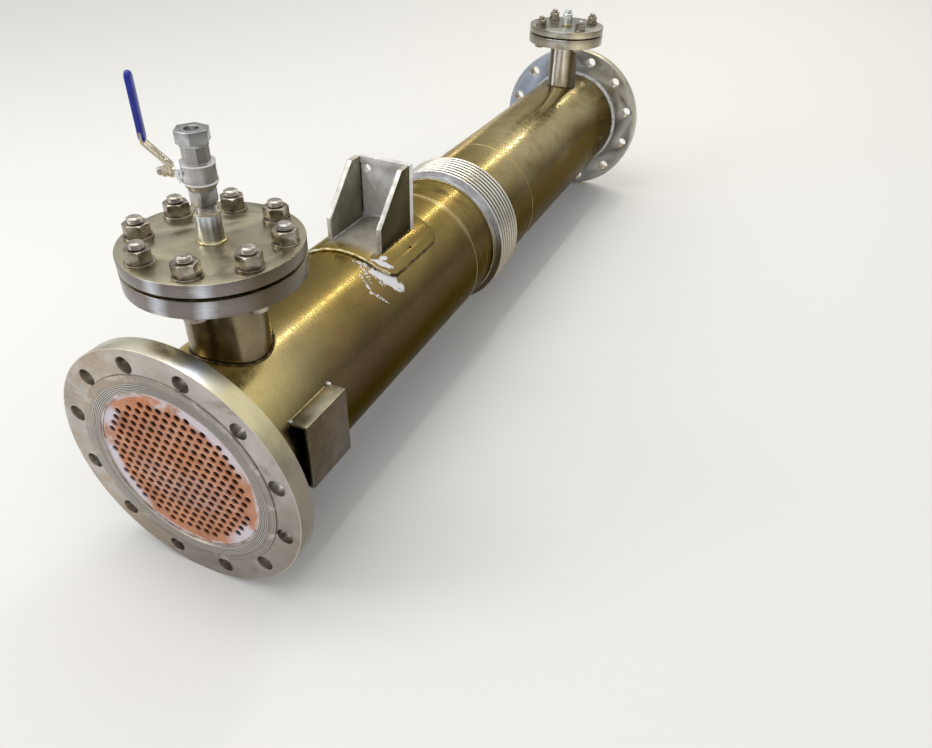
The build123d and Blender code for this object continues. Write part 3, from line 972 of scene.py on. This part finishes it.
def full_turn(count):
    return [2 * pi * k / count for k in range(count)]


def saddle(station, pipe_r, grow):
    """Points round the foot of a nozzle neck, where it meets the shell."""
    r = pipe_r + grow
    return [on_shell(r * cos(a), station + r * sin(a), grow / 2) for a in full_turn(96)]


def hoop(station, radius, thickness):
    """Bead round the shell."""
    points = [Vector((radius * mm * sin(a), at(station), over(radius * cos(a)))) for a in full_turn(128)]
    return bead(points, thickness, closed=True)


def level_ring(station, height, radius, thickness):
    """Bead round an upright fitting, at a height over the axis."""
    points = [Vector((radius * mm * sin(a), at(station) + radius * mm * cos(a), over(height)))
              for a in full_turn(64)]
    return bead(points, thickness, closed=True)


front_neck_top, rear_neck_top = (
    (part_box(name)[1].z - axis_z) / mm for name in ("front_nozzle_neck", "rear_nozzle_neck"))
keep(join([bead(saddle(front_station, front_neck_r, 1.2), 2.2, closed=True),
           bead(saddle(rear_station, rear_neck_r, 1.0), 1.8, closed=True)]),
     "neck_foot_welds", brown_weld)
keep(join([level_ring(front_station, front_neck_top - 1, front_neck_r + 1.35, 2.6),
           level_ring(rear_station, rear_neck_top - 1, rear_neck_r + 0.95, 2.2)]),
     "neck_top_welds", brown_weld)
keep(join([hoop(station, shell_r - 0.3, 0.8) for station in seams]
          + [hoop(station, shell_r + 0.2, 1.1) for station in (bellows_front, bellows_rear)]
          + [bead([on_shell(24, s, 0.1) for s in range(seams[1] + 2, 1740, 24)], 0.8)]),
     "shell_seams", straw_seam)


def fillet(station, outward, width):
    """Weld between the shell and an end flange, thick at the flange and running out along the shell."""
    foot = station + outward * width
    outline = [(shell_r - 1, station - outward), (shell_r + 0.7 * width, station - outward),
               (shell_r + 0.7 * width, station), (shell_r + 0.35 * width, station + 0.35 * outward * width),
               (shell_r + 0.12 * width, station + 0.7 * outward * width), (shell_r - 0.2, foot),
               (shell_r - 1, foot)]
    return smooth(turned(outline, (0, at(0), axis_z), lengthwise=True, steps=128), 60)


keep(fillet(flange_t, 1, 7), "front_flange_weld", gold_weld)
keep(fillet(length - flange_t, -1, 9), "rear_flange_weld", weld_metal)
keep(join([level_ring(front_station, nozzle_top + 0.6, socket_r + 0.8, 2.5),
           level_ring(front_station, socket_top - 0.3, socket_r - 1.1, 1.4),
           level_ring(rear_station, nozzle_top + 0.6, vent_r + 0.6, 1.6)]),
     "socket_welds", gold_weld)


def pad_edge(across, along, start):
    """Points round a corner of the pad, named by its side across and along, from a start in degrees."""
    middle, half = (pad_front + pad_back) / 2, (pad_back - pad_front) / 2
    turns = [radians(start + 90 * k / 12) for k in range(13)]
    return [(across * (pad_half - pad_corner) + pad_corner * cos(a),
             middle + along * (half - pad_corner) + pad_corner * sin(a)) for a in turns]


def uneven(points, height):
    """The run on the shell, wandering a little as a hand weld does."""
    return [on_shell(x + 0.5 * sin(1.9 * k), y + 0.6 * sin(2.7 * k + 1), height + 0.3 * sin(1.3 * k))
            for k, (x, y) in enumerate(points)]


front_left, front_right = pad_edge(-1, -1, 180), pad_edge(1, -1, 270)
back_right, back_left = pad_edge(1, 1, 0), pad_edge(-1, 1, 90)
between_gussets = range(1 - gusset_outer, gusset_outer, 6)
front_run = front_left[5:] + [(x, pad_front) for x in between_gussets] + front_right[:8]
side_run = front_right[7:] + [(pad_half, y) for y in range(pad_front + 36, pad_back - 35, 8)] + back_right
back_run = [(x, pad_back) for x in reversed(between_gussets)]
far_run = back_left + [(-pad_half, y) for y in range(pad_back - 36, pad_front + 35, -8)] + front_left[:6]
keep(join([bead(uneven(front_run, 2.6), 2.8), bead(uneven(back_run, 2.4), 2.0)]), "pad_end_welds", gold_weld)
# The pad's side welds take the near-black weld finish, partly as weld colour and partly as painted shade of
# the pad's edge.
keep(join([bead(uneven(side_run, 1.0), 2.7), bead(uneven(far_run, 1.0), 2.4)]), "pad_side_welds", brown_weld)


def gusset_foot(x):
    """Points along the foot of a gusset's face."""
    return [on_shell(x, s, pad_t + 0.6) for s in range(lug_front + 1, plate_front, 8)]


def gusset_back(x):
    """Points up the corner between a gusset's inner face and the back plate."""
    return [Vector((x * mm, at(plate_front - 0.4), over(h))) for h in range(146, lug_top - 3, 8)]


sides, inner_x = (-1, 1), gusset_inner - 0.4
keep(join([bead(gusset_foot(side * gusset_outer), 1.8) for side in sides]
          + [bead(gusset_back(side * inner_x), 1.5) for side in sides]),
     "gusset_welds", brown_weld)
keep(join([bead(gusset_foot(side * inner_x), 1.7) for side in sides]), "gusset_inner_welds", weld_metal)
plate_foot = [on_shell(x, plate_front - 1.4, pad_t + 1.6) for x in range(1 - gusset_inner, gusset_inner, 4)]
plate_heel = [on_shell(x, plate_back + 1, pad_t + 1) for x in range(1 - gusset_outer, gusset_outer, 4)]
keep(join([bead(plate_foot, 3.2), bead(plate_heel, 2.8)]), "back_plate_welds", weld_metal)


def bracket_run(height, lift):
    """Points where the side bracket meets the shell, at a height over the axis."""
    x = sqrt(shell_r ** 2 - height ** 2) + lift
    return [Vector((x * mm, at(s), over(height))) for s in range(bracket_front + 4, bracket_back - 2, 8)]


def weld_dot(station, size):
    """Blob of weld at the top inner corner of the side bracket."""
    alone()
    bpy.ops.mesh.primitive_uv_sphere_add(
        segments=20, ring_count=12, radius=size * mm,
        location=(122 * mm, at(station), over(bracket_top + 0.6)))
    obj = bpy.context.object
    obj.scale = (1.5, 1.0, 0.6)
    return smooth(settle(obj), 60)


keep(join([weld_dot(bracket_front + 2, 3.2), weld_dot(bracket_back - 2, 3.6)]), "bracket_weld_dots",
     weld_metal)
keep(join([bead(bracket_run(bracket_top, 0), 1.0), bead(bracket_run(bracket_low, 0.5), 1.6)]),
     "bracket_welds", gold_weld)

# Gasket grooves turned into the end faces, and tube ends in the tube sheets

def grooves(name, station, outward, finish):
    """Turned ridges on a raised face, between the shell's end and the plain outer ring."""
    outline = [(groove_start, -0.5 * outward)]
    for k in range(groove_count):
        outline += [(groove_start + (k + 0.5) * groove_pitch, groove_depth * outward),
                    (groove_start + (k + 1) * groove_pitch, 0.02 * outward)]
    outline.append((groove_end, -0.5 * outward))
    ring = turned(outline, (0, at(station), axis_z), lengthwise=True, steps=144)
    return keep(smooth(ring, 15), name, finish)


def tube_ends(name, station, outward):
    """A thin lip round every bore: one lip a row, arrayed along the row."""
    rows = []
    for row in range(-8, 9):
        shift = 0.5 if row % 2 == 0 else 0.0
        rise = row * tube_pitch * sqrt(3) / 2
        half = sqrt(tube_reach ** 2 - rise ** 2)
        across = [(step + shift) * tube_pitch for step in range(-9, 10)]
        places = [x for x in across if abs(x) <= half]
        lip = turned([(tube_bore_r, -0.4 * outward), (tube_bore_r + 0.1, 0.45 * outward),
                      (tube_bore_r + 0.7, 0.35 * outward), (tube_bore_r + 1.1, -0.4 * outward)],
                     (places[0] * mm, at(station), over(rise)), lengthwise=True, steps=14)
        apply(lip, "ARRAY", count=len(places), use_relative_offset=False, use_constant_offset=True,
              constant_offset_displace=(tube_pitch * mm, 0, 0))
        rows.append(lip)
    return keep(smooth(join(rows), 40), name, rusty_sheet)


grooves("front_gasket_grooves", 0, -1, flange_steel)
grooves("rear_gasket_grooves", length, 1, pale_flange)
tube_ends("front_tube_ends", sheet_recess, -1)
tube_ends("rear_tube_ends", length - sheet_recess, 1)

# Floor, light and camera

floor_finish = Finish("pale_floor", metallic=0.0, roughness=0.9)
floor_finish.colour((0.76, 0.76, 0.75))
alone()
bpy.ops.mesh.primitive_plane_add(size=80, location=(0, 8, -0.0005))
floor = settle(bpy.context.object)
floor.name = "floor"
floor.data.materials.append(floor_finish.material)

horizon_light, zenith_light = 0.38, 0.98
world = bpy.data.worlds.new("studio")
bpy.context.scene.world = world
world.use_nodes = True
sky = world.node_tree
height_of = sky.nodes.new("ShaderNodeSeparateXYZ")
sky.links.new(sky.nodes.new("ShaderNodeTexCoord").outputs["Generated"], height_of.inputs[0])
fade = sky.nodes.new("ShaderNodeMapRange")
for socket, value in zip(fade.inputs[1:5], (0.0, 0.9, horizon_light, zenith_light)):
    socket.default_value = value
sky.links.new(height_of.outputs["Z"], fade.inputs["Value"])
sky.links.new(fade.outputs[0], sky.nodes["Background"].inputs["Strength"])
sky.nodes["Background"].inputs["Color"].default_value = (1, 0.99, 0.97, 1)


def lamp(name, spot, target, width, depth, watts, colour=(1, 1, 1)):
    """Soft lamp at a spot, aimed at a target."""
    alone()
    bpy.ops.object.light_add(type="AREA", location=spot)
    light = bpy.context.object
    light.name = name
    light.data.shape, light.data.size, light.data.size_y = "RECTANGLE", width, depth
    light.data.energy, light.data.color = watts, colour
    light.rotation_euler = (Vector(target) - Vector(spot)).to_track_quat("-Z", "Y").to_euler()
    light.visible_camera = False


lamp("long_strip", (0.04, 3.9, 3.0), (0.04, 3.9, 0), 0.04, 5.4, 38, (1, 0.93, 0.76))
lamp("overhead", (-0.8, -0.6, 3.2), (0, -0.2, 0.2), 0.7, 2.4, 31, (1, 0.98, 0.95))
lamp("left_front", (-2.6, -2.6, 2.2), (0, -0.6, 0.3), 1.6, 1.2, 30)
lamp("left_rear", (-4.0, 6.4, 0.9), (0, 0.4, 0.4), 0.7, 0.4, 6, (1, 0.92, 0.75))

azimuth, elevation, roll = radians(23.34), radians(36.70), radians(1.95)
camera_spot = Vector((0.659, at(-526), over(746)))
focal_pixels, frame_width, sensor_width = 748, 932, 36
back = Vector((sin(azimuth) * cos(elevation), -cos(azimuth) * cos(elevation), sin(elevation)))
level = (-back).cross(Vector((0, 0, 1))).normalized()
upward = level.cross(-back)
right = cos(roll) * level + sin(roll) * upward
top = cos(roll) * upward - sin(roll) * level
alone()
bpy.ops.object.camera_add(location=camera_spot)
camera = bpy.context.object
camera.matrix_world = Matrix.Translation(camera_spot) @ Matrix((right, top, back)).transposed().to_4x4()
camera.data.sensor_width = sensor_width
camera.data.lens = sensor_width * focal_pixels / frame_width
bpy.context.scene.camera = camera
bpy.context.scene.view_settings.view_transform = "Standard"
